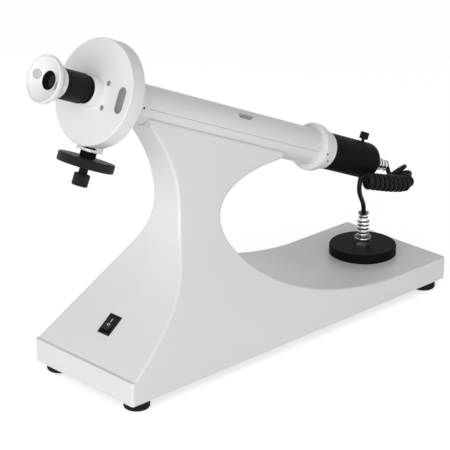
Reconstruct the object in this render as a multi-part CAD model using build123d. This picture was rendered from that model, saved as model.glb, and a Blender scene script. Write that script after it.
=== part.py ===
from build123d import *
import math
import os

# Bench polarimeter with an inclined tube, in millimetres.
# +X runs from the eyepiece end to the lamp end and +Z is up.
# While it is built, the origin is at the middle of the casting's front bottom edge.
# Pieces on the tube are drawn in the tube's own frame: X along its axis from the eye, Z square to it.

# Stand casting
base_length = 437.0
base_width = 140.0
base_height = 23.4
casting_wall = 5.0
crest_round = 2.5
corner_round = 2.5
neck_half_width = 17.7
neck_height = 165.0
waist_x = 155.7
waist_height = 118.0
front_ledge = 3.8
rear_sweep_x = 368.7
core_steps = [(48, 50, 215, 48), (70, 74, 176, 42), (95, 96, 155, 30), (125, 110, 148, 15)]
saddle_start = 60.0
saddle_end = 250.0
saddle_ledge_drop = 10.6
saddle_gap = 0.3

# Tube axis, as it leaves the front face of the dial cover
tilt = 22.95
face_x = 21.25
face_height = 279.6

# Bottom plate, feet and their screws
plate_thickness = 2.0
plate_gap = 0.3
foot_radius = 12.5
foot_height = 10.0
foot_round = 2.5
foot_inset_x = 17.5
foot_inset_y = 14.5
boss_radius = 6.5
foot_screw_radius = 2.4
foot_screw_head = 4.2
screw_clearance = 0.15
foot_head_depth = 2.6
foot_recess = 5.0

# Rocker switch on the front slope
switch_x = 36.3
switch_y = 2.5
switch_length = 21.6
switch_width = 15.6
switch_bezel = 2.0
switch_body_length = 19.0
switch_body_width = 13.4
switch_body_depth = 15.0
switch_seat = 0.6
rocker_length = 15.8
rocker_width = 10.6
rocker_pocket_gap = 0.8
rocker_side_gap = 0.3
rocker_tilt = 8.0
rocker_pin_radius = 1.2
hinge_clearance = 0.05

# Power inlet gland at the lamp end
inlet_y = 35.0
inlet_height = 11.0
inlet_bore = 3.2
inlet_thread = 6.0
inlet_flange = 8.4
inlet_flange_depth = 2.4
inlet_nut = 7.1
inlet_nut_depth = 3.0

# Lamp driver board
board_length = 90.0
board_width = 55.0
board_thickness = 1.6
board_x = 265.0
standoff_height = 5.0

# Optical tube: the lower trough, its lid and the collar that joins it to the dial housing
tube_radius = 18.55
tube_wall = 2.1
trough_start = 53.0
trough_end = 303.1
end_ring = 1.3
parting_drop = 2.3
lid_gap = 0.25
lid_corner = 3.5
lid_wall = 1.6
knuckle_radius = 2.3
hinge_pin_radius = 1.0
hinge_offset = 1.75
knuckle_count = 5
knuckle_length = 18.0
knuckle_play = 0.3
tab_start = 177.0
tab_length = 14.0
tab_angle = 52.0
tab_height = 5.0
tab_thickness = 1.2
window_radius = 11.0
window_thickness = 2.0
collar_radius = 18.9
collar_screw_start = 48.4

# Rear flange and the ring that takes the lamp house
flange_radius = 24.0
flange_depth = 6.3
flange_bore = 9.0
ring_radius = 20.0
ring_depth = 14.0
ring_wall = 2.0
set_screw_radius = 1.3
set_screw_length = 1.9

# Lamp house
lamp_radius = 18.7
lamp_wall = 2.0
lamp_end = 402.0
lamp_end_round = 9.0
lamp_spigot = 12.0
lamp_fit = 0.1
lamp_holder_start = 360.0
lamp_holder_length = 30.0
lamp_bulb_radius = 4.0
thumb_screw_start = 382.0
thumb_head_radius = 4.6
thumb_head_height = 7.5
thumb_neck_radius = 1.6
thumb_neck = 2.2

# Dial housing
cover_radius = 49.0
cover_depth = 12.8
cover_wall = 2.2
cover_face = 2.4
cover_round = 1.0
back_plate_gap = 0.2
back_plate = 3.2
boss_outer = 14.3
boss_height = 10.3
cover_screw_y = 16.4
cover_screw_w = 11.2
cover_screw_sink = 2.4
cover_screw_radius = 1.5
window_offset = 36.4
window_height = 24.0
window_width = 10.0
glass_thickness = 1.4
glass_margin = 1.6

# Dial, verniers and analyser
dial_start = 5.6
dial_thickness = 1.6
dial_radius = 36.2
dial_hub = 12.0
hub_bore = 9.0
hub_end = 22.0
vernier_gap = 0.3
vernier_outer = 41.6
vernier_half_angle = 20.0
bearing_wall = 3.0
running_gap = 0.08

# Bevel gears that turn the dial
gear_teeth = 72
pinion_teeth = 12
gear_pitch_radius = 30.0
gear_face = 6.0
addendum = 0.8
dedendum = 1.05
tooth_half = 0.5
flank_angle = 22.0
tip_land = 0.1
tooth_seat = 0.15
tooth_end = 0.012

# Cross shaft and its handwheels
shaft_start = 15.2
shaft_radius = 3.0
journal_radius = 2.4
housing_half_width = 9.5
housing_wall = 2.2
housing_depth = 8.2
lip_top = 50.2
lip_thickness = 2.2
lip_reach = 10.5
bush_radius = 7.5
bush_height = 5.9
bush_spigot = 5.0
wheel_radius = 26.5
wheel_height = 8.4
wheel_rim = 6.0
wheel_dish = 1.2
wheel_gap = 0.3
fine_knob_radius = 7.5
fine_knob_height = 11.5
fine_neck_radius = 4.2
fine_neck = 6.4
knob_chamfer = 0.8

# Eyepiece
main_sleeve_radius = 12.8
main_sleeve_bore = 11.2
main_sleeve_start = -30.0
focus_radius = 13.8
focus_start = -43.2
focus_end = -15.6
focus_wall = 2.2
focus_groove = 0.6
draw_tube_end = -19.0
eyepiece_radius = 7.9
eyepiece_start = -51.0
eyepiece_bore = 5.6
shield_rim = 21.8
shield_start = -60.5
shield_rim_depth = 3.8
shield_hub = 14.3
shield_hub_start = -48.0
shield_end = -43.5
shield_step = 17.0
shield_dish = 7.0
shield_hole = 8.4
shield_lip = 1.6
shield_turn = 10.0
magnifier_radius = 4.5
magnifier_offset = 13.9
magnifier_thickness = 1.6

# Lamp connectors, socket plate and curly cord
plate_centre_x = 384.8
socket_plate_radius = 35.3
socket_plate_height = 10.0
socket_plate_round = 1.5
panel_hole = 5.2
plug_body = 6.1
base_plug_body = 13.5
lamp_plug_body = 6.5
plug_ring = 6.45
plug_ring_length = 4.8
plug_neck = 4.9
plug_neck_length = 5.0
plug_clamp = 6.1
plug_clamp_length = 2.4
coupling_radius = 8.6
coupling_length = 5.0
socket_flange = 9.1
base_flange_height = 4.0
lamp_flange_height = 2.5
cord_radius = 2.5
cord_lead_length = 5.2
coil_radius = 9.2

os.makedirs("parts", exist_ok=True)

# Shared frames and shapes
cos_tilt = math.cos(math.radians(tilt))
sin_tilt = math.sin(math.radians(tilt))
tube_frame = Location((face_x, 0, face_height), (0, tilt, 0))


def on_tube(along, across):
    """Point in the mid-plane, given along the tube's axis and square to it."""
    x = face_x + along * cos_tilt + across * sin_tilt
    z = face_height - along * sin_tilt + across * cos_tilt
    return (x, z)


def upright(point):
    """A mid-plane point (x, z) as a vector in space."""
    return Vector(point[0], 0, point[1])


def turned(points):
    """Solid turned about X from its (along, radius) outline."""
    outline = Polyline(*[(along, 0, radius) for along, radius in points], close=True)
    return revolve(make_face(outline), Axis.X)


def rod(start, end, radius, bore=0):
    """Round bar or tube along X."""
    shape = Cylinder(radius, end - start)
    if bore:
        shape -= Cylinder(bore, end - start)
    return Pos((start + end) / 2, 0, 0) * Rot(0, 90, 0) * shape


def post(bottom, top, radius, bore=0):
    """Round bar or tube along Z."""
    shape = Cylinder(radius, top - bottom)
    if bore:
        shape -= Cylinder(bore, top - bottom)
    return Pos(0, 0, (bottom + top) / 2) * shape


def rim_edges(shape, axis, value, radius):
    """The round edges of one radius that lie at one height along an axis."""
    picked = shape.edges().filter_by(GeomType.CIRCLE)
    picked = picked.filter_by(lambda e: abs(e.radius - radius) < 0.01)
    return picked.filter_by_position(axis, value - 0.01, value + 0.01)


# Stand casting: one flowing form, from a wide base up to a narrow neck that cradles the tube
def casting_form():
    """Meeting of a slab with the side outline and a prism with the end outline."""
    front_start = (front_ledge, base_height)
    front_end = on_tube(saddle_start + 4, -tube_radius)
    front = Bezier(
        upright(front_start),
        upright((front_start[0] + 49, base_height + 38)),
        upright((waist_x + 6, waist_height + 4)),
        upright(front_end),
    )
    rear_start = (rear_sweep_x, base_height)
    waist = (waist_x, waist_height)
    rear_end = on_tube(saddle_end - 3, -tube_radius - saddle_gap)
    rear_low = Bezier(
        upright(rear_start),
        upright((rear_start[0] - 113, base_height)),
        upright((waist[0], waist_height - 47)),
        upright(waist),
    )
    rear_high = Bezier(
        upright(waist),
        upright((waist[0], waist_height + 26)),
        upright((waist[0] + 20, waist_height + 47)),
        upright(rear_end),
    )
    top_rear = on_tube(saddle_end, -saddle_ledge_drop)
    top_front = on_tube(saddle_start, -saddle_ledge_drop)
    corners = [
        (0, base_height),
        (0, 0),
        (base_length, 0),
        (base_length, base_height),
        rear_start,
    ]
    low_edges = [Line(upright(a), upright(b)) for a, b in zip([front_start] + corners, corners)]
    crown = [Line(upright(rear_end), upright(top_rear)), Line(upright(top_rear), upright(top_front))]
    crown.append(Line(upright(top_front), upright(front_end)))
    side = make_face(Wire(low_edges + [rear_low, rear_high] + crown + [front]))
    half_width = base_width / 2
    neck = neck_half_width
    roof = face_height
    spread = half_width - neck
    rise = neck_height - base_height

    def flank(sign):
        return Bezier(
            (0, sign * half_width, base_height),
            (0, sign * (neck + 0.564 * spread), base_height + 0.669 * rise),
            (0, sign * neck, base_height + 0.537 * rise),
            (0, sign * neck, neck_height),
        )

    outline = [
        Line((0, -half_width, 0), (0, half_width, 0)),
        Line((0, half_width, 0), (0, half_width, base_height)),
        flank(1),
        Line((0, neck, neck_height), (0, neck, roof)),
        Line((0, neck, roof), (0, -neck, roof)),
        Line((0, -neck, roof), (0, -neck, neck_height)),
        flank(-1),
        Line((0, -half_width, base_height), (0, -half_width, 0)),
    ]
    side_slab = Pos(0, base_width / 2, 0) * extrude(side, base_width, dir=(0, -1, 0))
    end_prism = extrude(make_face(Wire(outline)), base_length, dir=(1, 0, 0))
    return side_slab & end_prism


def is_crest(edge):
    """Long edges between the slopes and the flanks, above the base."""
    box = edge.bounding_box()
    climbs = box.max.Z - box.min.Z > base_height
    return climbs and edge.length > base_width / 4 and box.min.Z > base_height - 0.5


corner_x = (foot_inset_x, base_length - foot_inset_x)
corner_y = (-base_width / 2 + foot_inset_y, base_width / 2 - foot_inset_y)
foot_places = [(x, y) for x in corner_x for y in corner_y]
side_places = [(base_length / 2, y) for y in corner_y]

casting = casting_form()

# Hollow underneath: the base's shallow well and a stepped core in the neck
well_top = base_height - casting_wall
well_length = base_length - 2 * casting_wall
well_width = base_width - 2 * casting_wall
well = Pos(base_length / 2, 0, (well_top - 1) / 2) * Box(well_length, well_width, well_top + 1)
for x, y in foot_places + side_places:
    well -= Pos(x, y, 0) * post(plate_thickness, base_height, boss_radius)
core_bottom = casting_wall
for core_top, core_front, core_rear, core_half_width in core_steps:
    core_size = (core_rear - core_front, 2 * core_half_width, core_top - core_bottom)
    core_middle = ((core_front + core_rear) / 2, 0, (core_bottom + core_top) / 2)
    well += Pos(*core_middle) * Box(*core_size)
casting -= well

# Rounded crests and corners, the saddle that the tube lies in, and the tapped bosses
casting = fillet([edge for edge in casting.edges() if is_crest(edge)], crest_round)
uprights = [e for e in casting.edges() if e.length < base_height + 0.1 and e.length > base_height - 0.1]
uprights = [e for e in uprights if e.geom_type == GeomType.LINE]
casting = fillet(uprights, corner_round)
saddle = tube_frame * rod(0, lamp_end, tube_radius + saddle_gap)
casting -= saddle
tapped_depth = well_top - 1
for x, y in foot_places + side_places:
    casting -= Pos(x, y, 0) * post(-1, tapped_depth, foot_screw_radius + screw_clearance)

# Bottom plate with the holes that its screws pass
bottom_plate = Pos(base_length / 2, 0, plate_thickness / 2) * Box(
    well_length - 2 * plate_gap, well_width - 2 * plate_gap, plate_thickness
)
for x, y in foot_places + side_places:
    bottom_plate -= Pos(x, y, 0) * post(-1, plate_thickness + 1, foot_screw_radius + screw_clearance)

# Rubber feet, each held by a screw sunk in its underside
foot_blank = post(-foot_height, 0, foot_radius)
foot_blank = fillet(rim_edges(foot_blank, Axis.Z, -foot_height, foot_radius), foot_round)
foot_blank -= post(-foot_height, -foot_height + foot_recess, foot_screw_head + 0.4)
foot_blank -= post(-foot_height, 0, foot_screw_radius + screw_clearance)
foot_names = ["foot_front_near", "foot_front_far", "foot_rear_near", "foot_rear_far"]
feet = {name: Pos(x, y, 0) * foot_blank for name, (x, y) in zip(foot_names, foot_places)}

screw_seat = -foot_height + foot_recess
screw_top = tapped_depth - 2
foot_screw = post(screw_seat, screw_top, foot_screw_radius)
foot_screw += post(screw_seat - foot_head_depth, screw_seat, foot_screw_head)
driver_slot = Pos(0, 0, screw_seat - foot_head_depth) * Box(3 * foot_screw_head, 1, 2)
foot_screw -= driver_slot
foot_screws = [Pos(x, y, 0) * Rot(0, 0, x / 4 + y) * foot_screw for x, y in foot_places]
plate_screw = post(0, screw_top, foot_screw_radius) + post(-foot_head_depth, 0, foot_screw_head)
plate_screw -= Pos(0, 0, -foot_head_depth) * Box(3 * foot_screw_head, 1, 2)
plate_screws = [Pos(x, y, 0) * Rot(0, 0, x / 4 + y) * plate_screw for x, y in side_places]

# Rocker switch, seated in a flat on the front slope
slope_start = (front_ledge, base_height)
slope_handle = (front_ledge + 49, base_height + 38)
slope_angle = math.degrees(
    math.atan2(slope_handle[1] - slope_start[1], slope_handle[0] - slope_start[0])
)
switch_height = base_height + (switch_x - front_ledge) * math.tan(math.radians(slope_angle)) - 1.0
switch_frame = Location((switch_x, switch_y, switch_height), (0, -slope_angle, 0)) * Pos(0, 0, -switch_seat)
pocket_length = rocker_length + 2 * rocker_pocket_gap
pocket_width = rocker_width + 2 * rocker_side_gap
pocket_depth = 7.0
pivot_depth = 1.5
switch_body = Pos(0, 0, switch_bezel / 2) * Box(switch_length, switch_width, switch_bezel)
bezel_top = switch_body.edges().group_by(Axis.Z)[-1]
switch_body = chamfer(bezel_top, 0.8)
body_box = Box(switch_body_length, switch_body_width, switch_body_depth)
switch_body += Pos(0, 0, -switch_body_depth / 2) * body_box
pocket_block = Box(pocket_length, pocket_width, pocket_depth + switch_bezel)
switch_body -= Pos(0, 0, (switch_bezel - pocket_depth) / 2) * pocket_block
pin_bore = Rot(90, 0, 0) * Cylinder(rocker_pin_radius + hinge_clearance, switch_body_width)
switch_body -= Pos(0, 0, -pivot_depth) * pin_bore
for x in (-5.0, 0.0, 5.0):
    switch_body += Pos(x, 0, -switch_body_depth - 3.5) * Box(0.8, 4.8, 7)

half_rocker = rocker_length / 2
rise = half_rocker * math.tan(math.radians(rocker_tilt))
rocker_outline = Polyline(
    (-half_rocker, 0, -4.0),
    (half_rocker, 0, -4.0),
    (half_rocker, 0, switch_bezel + rise),
    (0, 0, switch_bezel),
    (-half_rocker, 0, switch_bezel + rise),
    close=True,
)
rocker = extrude(make_face(rocker_outline), rocker_width / 2, dir=(0, 1, 0), both=True)
rocker = fillet(rocker.edges().filter_by(Axis.Y).group_by(Axis.Z)[-1], 0.8)
rocker_pin = Rot(90, 0, 0) * Cylinder(rocker_pin_radius, switch_body_width - 0.4)
rocker += Pos(0, 0, -pivot_depth) * rocker_pin
rest_turn = Pos(0, 0, -pivot_depth) * Rot(0, rocker_tilt, 0) * Pos(0, 0, pivot_depth)
switch_rocker = switch_frame * rest_turn * rocker

switch_hole = Pos(0, 0, -13) * Box(switch_body_length + 0.4, switch_body_width + 0.4, 46)
switch_flat = Box(switch_length + 0.6, switch_width + 0.6, 4 * switch_seat)
casting -= switch_frame * switch_hole
casting -= switch_frame * Pos(0, 0, 2 * switch_seat) * switch_flat

# Power inlet gland, clamped through the end wall by its nut
inlet_place = Pos(base_length, inlet_y, inlet_height)
gland_back = -casting_wall - inlet_nut_depth - 1
gland = rod(0, inlet_flange_depth, inlet_flange, inlet_bore)
gland = chamfer(rim_edges(gland, Axis.X, inlet_flange_depth, inlet_flange), 0.8)
gland += rod(gland_back, 0, inlet_thread - 0.1, inlet_bore)
gland = inlet_place * gland
gland_nut = Rot(0, 90, 0) * extrude(RegularPolygon(inlet_nut, 6), inlet_nut_depth)
gland_nut = Pos(-casting_wall - inlet_nut_depth, 0, 0) * gland_nut
gland_nut -= rod(-4 * casting_wall, 0, inlet_thread)
gland_nut = inlet_place * gland_nut
casting -= inlet_place * rod(-2 * casting_wall, 1, inlet_thread)

# Spot face for the socket plate, where the rear sweep starts to rise
plate_spot = post(base_height, base_height + casting_wall, socket_plate_radius + 0.2)
casting -= Pos(plate_centre_x, 0, 0) * plate_spot

# Lamp driver board on four standoffs
board_bottom = plate_thickness + standoff_height
board = Pos(board_x, 0, board_bottom + board_thickness / 2) * Box(board_length, board_width, board_thickness)
board_top = board_bottom + board_thickness
board += Pos(board_x - 22, 8, board_top + 4.5) * Box(28, 24, 9)
board += Pos(board_x + 12, 12, board_top) * post(0, 8.5, 5)
board += Pos(board_x + 28, -14, board_top + 2.5) * Box(18, 10, 5)
board += Pos(board_x + 4, -16, board_top + 2) * Box(10, 7, 4)
for x in (-board_length / 2 + 5, board_length / 2 - 5):
    for y in (-board_width / 2 + 5, board_width / 2 - 5):
        board += Pos(board_x + x, y, 0) * post(plate_thickness, board_bottom, 3)

# Trough: lower half of the tube, closed by a full ring at each end
tube_bore = tube_radius - tube_wall
tube_blank = rod(trough_start, trough_end, tube_radius, tube_bore)
lid_start = trough_start + end_ring
lid_end = trough_end - end_ring
lid_length = lid_end - lid_start
lid_middle = (lid_start + lid_end) / 2
lid_height = 2 * tube_radius


def lid_block(gap):
    """Block that parts the lid from the trough, with its lower corners rounded."""
    block = Box(lid_length - 2 * gap, 3 * tube_radius, lid_height)
    low = block.edges().filter_by(Axis.Y).group_by(Axis.Z)[0]
    block = fillet(low, lid_corner)
    return Pos(lid_middle, 0, lid_height / 2 - parting_drop + gap) * block


hinge_y = tube_radius + hinge_offset
hinge_w = -parting_drop
trough = tube_blank - lid_block(0)
tube_cover = rod(lid_start, lid_end, tube_radius, tube_radius - lid_wall) & lid_block(lid_gap)

# Hinge on the far side: knuckles in turn on the trough and on the lid, with one long pin
knuckle_step = lid_length / (knuckle_count + 1)
hinge_line = Pos(0, hinge_y, hinge_w)
pin_bore_radius = hinge_pin_radius + hinge_clearance
cut_radius = knuckle_radius + 0.35


def knuckle(start, length, leaf_rise):
    """One knuckle with the short leaf that carries it on the tube wall."""
    barrel = hinge_line * rod(start, start + length, knuckle_radius)
    leaf_depth = hinge_y - tube_radius + 1.0
    leaf = Box(length, leaf_depth, knuckle_radius + leaf_rise)
    side = 1 if leaf_rise > 0 else -1
    leaf_w = hinge_w + side * (knuckle_radius + abs(leaf_rise)) / 2
    leaf = Box(length, leaf_depth, knuckle_radius + abs(leaf_rise))
    leaf = Pos(start + length / 2, hinge_y - leaf_depth / 2, leaf_w) * leaf
    keep = rod(start, start + length, hinge_y) - rod(start, start + length, tube_radius - 0.4)
    return barrel + (leaf & keep)


for index in range(knuckle_count):
    middle = lid_start + knuckle_step * (index + 1)
    lid_from = middle - knuckle_length / 2
    relief = hinge_line * rod(lid_from - knuckle_play, lid_from + knuckle_length + knuckle_play, cut_radius)
    trough -= relief
    tube_cover += knuckle(lid_from, knuckle_length, 1.6)
    for start in (lid_from - knuckle_play - knuckle_length / 2, lid_from + knuckle_length + knuckle_play):
        half = knuckle_length / 2
        tube_cover -= hinge_line * rod(start - knuckle_play / 2, start + half + knuckle_play / 2, cut_radius)
        trough += knuckle(start, half, -1.6)
    trough -= hinge_line * rod(lid_from - knuckle_play, lid_from + knuckle_length + knuckle_play, cut_radius)
pin_start = lid_start + knuckle_step - knuckle_length
pin_end = lid_end - knuckle_step + knuckle_length
trough -= hinge_line * rod(trough_start, trough_end, pin_bore_radius)
tube_cover -= hinge_line * rod(trough_start, trough_end, pin_bore_radius)
hinge_pin = hinge_line * rod(pin_start, pin_end, hinge_pin_radius)

# Finger tab on the near side of the lid
tab = Box(tab_length, tab_thickness, tab_height + 1.2)
tab = fillet(tab.edges().filter_by(Axis.Y).group_by(Axis.Z)[-1], 1.8)
tab += Pos(0, 1.4, -tab_height / 2 + 0.1) * Box(tab_length, 4.0, 1.0)
tab_seat = tube_radius + 0.05 + tab_height / 2 + 0.4
tab_place = Pos(tab_start + tab_length / 2, 0, 0) * Rot(tab_angle, 0, 0)
lid_tab = tab_place * Pos(0, 0, tab_seat) * tab
lid_tab -= rod(lid_start, lid_end, tube_radius)

# Collar between the dial housing and the trough
plate_front = cover_depth + back_plate_gap
plate_back = plate_front + back_plate
collar = rod(plate_back, trough_start, collar_radius, tube_radius - tube_wall)
collar = chamfer(rim_edges(collar, Axis.X, trough_start, collar_radius), 0.35)
front_window = rod(trough_start - window_thickness, trough_start, window_radius)
front_cell = rod(trough_start - 6, trough_start, tube_bore - 0.05, window_radius + 0.05)
front_cell += rod(trough_start - 6, trough_start - window_thickness, window_radius + 1, window_radius - 1.5)

# Rear flange with the half-shade plate, the polariser and a window
flange_end = trough_end + flange_depth
flange = rod(trough_end, flange_end, flange_radius, flange_bore)
flange_rims = rim_edges(flange, Axis.X, trough_end, flange_radius)
flange_rims += rim_edges(flange, Axis.X, flange_end, flange_radius)
flange = chamfer(flange_rims, 0.5)
flange -= rod(trough_end, trough_end + window_thickness, window_radius + 0.1)
rear_window = rod(trough_end, trough_end + window_thickness, window_radius)
ring_end = flange_end + ring_depth
ring = rod(flange_end, ring_end, ring_radius, ring_radius - ring_wall)
ring = chamfer(rim_edges(ring, Axis.X, ring_end, ring_radius), 0.4)
cell_radius = flange_bore + 4
polariser_cell = rod(flange_end, flange_end + 5, cell_radius, flange_bore - 1.5)
polariser_cell -= rod(flange_end, flange_end + 1.2, flange_bore + 0.1)
polariser_cell -= rod(flange_end + 3.8, flange_end + 5, flange_bore + 0.1)
half_shade_plate = rod(flange_end, flange_end + 1.2, flange_bore)
polariser = rod(flange_end + 3.8, flange_end + 5, flange_bore)


def set_screw(along, angle, radius):
    """Headless screw sunk flush in a round wall at an angle from the top, towards the near side."""
    screw = post(radius - set_screw_length, radius - 0.3, set_screw_radius - 0.05)
    screw -= Pos(0, 0, radius - 0.3) * Box(2 * set_screw_radius, 0.4, 0.8)
    return Pos(along, 0, 0) * Rot(angle, 0, 0) * screw


def set_hole(along, angle, radius):
    """Blind hole that the headless screw sits in."""
    return Pos(along, 0, 0) * Rot(angle, 0, 0) * post(radius - set_screw_length, radius + 1, set_screw_radius)


flange_screw_start = trough_end + flange_depth / 2
ring_screw_start = flange_end + ring_depth / 2
screw_specs = [
    (collar_screw_start, 97.0, collar_radius),
    (collar_screw_start, -97.0, collar_radius),
    (flange_screw_start, 95.0, flange_radius),
    (flange_screw_start, -95.0, flange_radius),
    (ring_screw_start, 117.0, ring_radius),
    (ring_screw_start, -117.0, ring_radius),
]
collar_screws = [set_screw(*spec) for spec in screw_specs]
for spec in screw_specs[:2]:
    collar -= set_hole(*spec)
for spec in screw_specs[2:4]:
    flange -= set_hole(*spec)
for spec in screw_specs[4:]:
    ring -= set_hole(*spec)

# Lamp house: a blind tube whose mouth fits in the ring
spigot_radius = ring_radius - ring_wall - lamp_fit
lamp_house = rod(ring_end, lamp_end, lamp_radius)
lamp_house = fillet(rim_edges(lamp_house, Axis.X, lamp_end, lamp_radius), lamp_end_round)
lamp_house += rod(ring_end - lamp_spigot, ring_end, spigot_radius)
lamp_bore = lamp_radius - lamp_wall
lamp_house -= rod(ring_end - lamp_spigot, lamp_end - lamp_end_round, lamp_bore)
lamp_house -= rod(lamp_end - lamp_end_round, lamp_end, panel_hole)
lamp_house -= Pos(thumb_screw_start, 0, 0) * post(0, lamp_radius + 1, thumb_neck_radius + running_gap)

# Lamp holder, clamped by the thumb screw, with its diode and the lens in front of it
holder_end = lamp_holder_start + lamp_holder_length
lamp_holder = rod(lamp_holder_start, holder_end, lamp_bore - lamp_fit)
lamp_holder -= rod(lamp_holder_start, holder_end - 6, lamp_bore - 3)
lamp_holder -= Pos(thumb_screw_start, 0, 0) * post(lamp_bore - 1.5, lamp_radius, thumb_neck_radius + 0.4)
lamp_diode = rod(holder_end - 16, holder_end - 6, lamp_bulb_radius)
lamp_diode = fillet(rim_edges(lamp_diode, Axis.X, holder_end - 16, lamp_bulb_radius), 2.5)
lamp_diode += rod(holder_end - 8, holder_end - 6, lamp_bulb_radius + 3)
lens_start = ring_end + 4
condenser_ring = rod(lens_start - 2, lens_start + 6, lamp_bore - lamp_fit, lamp_bore - 3)
condenser_ring -= rod(lens_start, lens_start + 4, lamp_bore - 2.0)
condenser_lens = rod(lens_start + 0.1, lens_start + 3.9, lamp_bore - 2.1)

# Thumb screw on top of the lamp house
thumb_bottom = lamp_radius + thumb_neck
thumb_screw = post(thumb_bottom, thumb_bottom + thumb_head_height, thumb_head_radius)
thumb_screw = chamfer(thumb_screw.edges().filter_by(GeomType.CIRCLE), knob_chamfer)
thumb_screw += post(lamp_bore - 1.2, thumb_bottom, thumb_neck_radius)
thumb_screw = Pos(thumb_screw_start, 0, 0) * thumb_screw

# Dial cover: a shallow drum with the eyepiece boss, two reading windows and four sunk screws
cover = turned([
    (0, 0),
    (0, cover_radius),
    (cover_depth, cover_radius),
    (cover_depth, cover_radius - cover_wall),
    (cover_face, cover_radius - cover_wall),
    (cover_face, 0),
])
cover = fillet(rim_edges(cover, Axis.X, 0, cover_radius), cover_round)
cover += rod(-boss_height, 0, boss_outer)
cover = chamfer(rim_edges(cover, Axis.X, -boss_height, boss_outer), 0.6)
cover -= rod(-boss_height, cover_face, main_sleeve_radius)
slot_core = window_height - window_width
window_slot = Rot(0, 90, 0) * extrude(SlotOverall(window_height, window_width), 2 * cover_depth, both=True)
glass_sink = Rot(0, 90, 0) * extrude(
    SlotOverall(window_height + 2 * glass_margin, window_width + 2 * glass_margin), glass_thickness
)
glass_place = cover_face - glass_thickness
reading_glasses = []
for side in (-1, 1):
    place = Pos(0, side * window_offset, 0)
    cover -= place * window_slot
    cover -= place * Pos(glass_place, 0, 0) * glass_sink
    pane_shape = SlotOverall(window_height + 2 * glass_margin - 0.2, window_width + 2 * glass_margin - 0.2)
    pane = Rot(0, 90, 0) * extrude(pane_shape, glass_thickness)
    reading_glasses.append(place * Pos(glass_place, 0, 0) * pane)
cover -= Pos(shaft_start, 0, -cover_radius) * Cylinder(shaft_radius + 0.5, 12)
cover_screws = []
cover_screw_head = cover_screw_sink + 0.1
for side in (-1, 1):
    for level in (-1, 1):
        place = Pos(0, side * cover_screw_y, level * cover_screw_w)
        cover -= place * rod(-1, cover_face, cover_screw_radius + 0.15)
        cover -= place * rod(-1, 1.3, cover_screw_head)
        screw = rod(0.3, 1.3, cover_screw_head - 0.15) + rod(1.3, cover_face + 2, cover_screw_radius)
        screw -= rod(0.3, 0.8, 1.1)
        cover_screws.append(place * screw)

# Back plate of the housing, with the long bearing that the dial's hub turns in
bearing_bore = dial_hub + running_gap
back = rod(plate_front, plate_back, cover_radius)
back = chamfer(rim_edges(back, Axis.X, plate_back, cover_radius), 0.6)
back += rod(plate_back, plate_back + 12, bearing_bore + bearing_wall)
back -= rod(plate_front, plate_back + 12, bearing_bore)
spigot_ring = rod(plate_front - 3, plate_front, cover_radius - cover_wall - 0.1, cover_radius - cover_wall - 2.2)
back += spigot_ring
slot_half = 6.6
slot_length = cover_radius - 17
shaft_slot = Pos((plate_front + plate_back) / 2, 0, -17 - slot_length / 2) * Box(20, 2 * slot_half, slot_length)
back -= shaft_slot

# Dial, its hub and the analyser that turns with it
dial_end = dial_start + dial_thickness
dial = rod(dial_start, dial_end, dial_radius, hub_bore)
dial += rod(dial_end, hub_end, dial_hub, hub_bore)
analyser_cell = rod(dial_end + 2, dial_end + 6, hub_bore - 0.02, hub_bore - 2.5)
analyser_cell -= rod(dial_end + 4.8, dial_end + 6, hub_bore - 1)
analyser = rod(dial_end + 4.8, dial_end + 6, hub_bore - 1.1)

# Vernier plates beside the dial, each on a post from the back plate
verniers = []
for side in (-1, 1):
    sector = rod(dial_start, dial_end, vernier_outer, dial_radius + vernier_gap)
    half_span = vernier_outer * math.tan(math.radians(vernier_half_angle))
    window_side = Pos(0, side * vernier_outer, 0) * Box(4 * dial_end, 2 * vernier_outer, 2 * half_span)
    leg = rod(dial_end, plate_front, vernier_outer, vernier_outer - 2.5)
    leg_side = Pos(0, side * vernier_outer, 0) * Box(4 * plate_front, 2 * vernier_outer, half_span)
    verniers.append((sector & window_side) + (leg & leg_side))

# Bevel gears: both pitch cones meet where the two axes cross
pinion_cone = math.atan(pinion_teeth / gear_teeth)
gear_cone = math.pi / 2 - pinion_cone
cone_reach = gear_pitch_radius / math.cos(pinion_cone)
inner_scale = 1 - gear_face / cone_reach
flank = math.tan(math.radians(flank_angle))


def tooth(cone, half_width):
    """One straight tooth on a pitch cone about Z, tapering to the crossing point."""
    out = Vector(math.sin(cone), 0, math.cos(cone))
    away = Vector(math.cos(cone), 0, -math.sin(cone))
    across = Vector(0, 1, 0)
    tip = max(half_width - addendum * flank, tip_land)
    depth = dedendum + tooth_seat
    root = half_width + depth * flank
    corners = [(root, -depth), (tip, addendum), (-tip, addendum), (-root, -depth)]

    def section(scale):
        points = [(out * cone_reach + across * a + away * b) * scale for a, b in corners]
        return make_face(Polyline(*points, close=True))

    return loft([section(1.0 - tooth_end), section(inner_scale + tooth_end)])


def root_point(cone, scale):
    """Point (along axis, radius) on the root cone, square below the pitch cone."""
    along = cone_reach * math.cos(cone) + dedendum * math.sin(cone)
    radius = cone_reach * math.sin(cone) - dedendum * math.cos(cone)
    return (along * scale, radius * scale)


def spun(points):
    """Solid turned about Z from its (along, radius) outline."""
    return revolve(make_face(Polyline(*[(radius, 0, along) for along, radius in points], close=True)), Axis.Z)


to_gear = Pos(shaft_start, 0, 0) * Rot(0, -90, 0)
gear_outer = root_point(gear_cone, 1.0)
gear_inner = root_point(gear_cone, inner_scale)
gear_back = shaft_start - dial_end
gear_blank = spun([gear_outer, (gear_back, gear_outer[1]), (gear_back, gear_inner[1]), gear_inner])
gear_tooth = tooth(gear_cone, tooth_half)
half_step = 180 / gear_teeth
gear_ring = [Rot(0, 0, half_step * (2 * index + 1)) * gear_tooth for index in range(gear_teeth)]
dial_gear = to_gear * (gear_blank + gear_ring)

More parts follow.
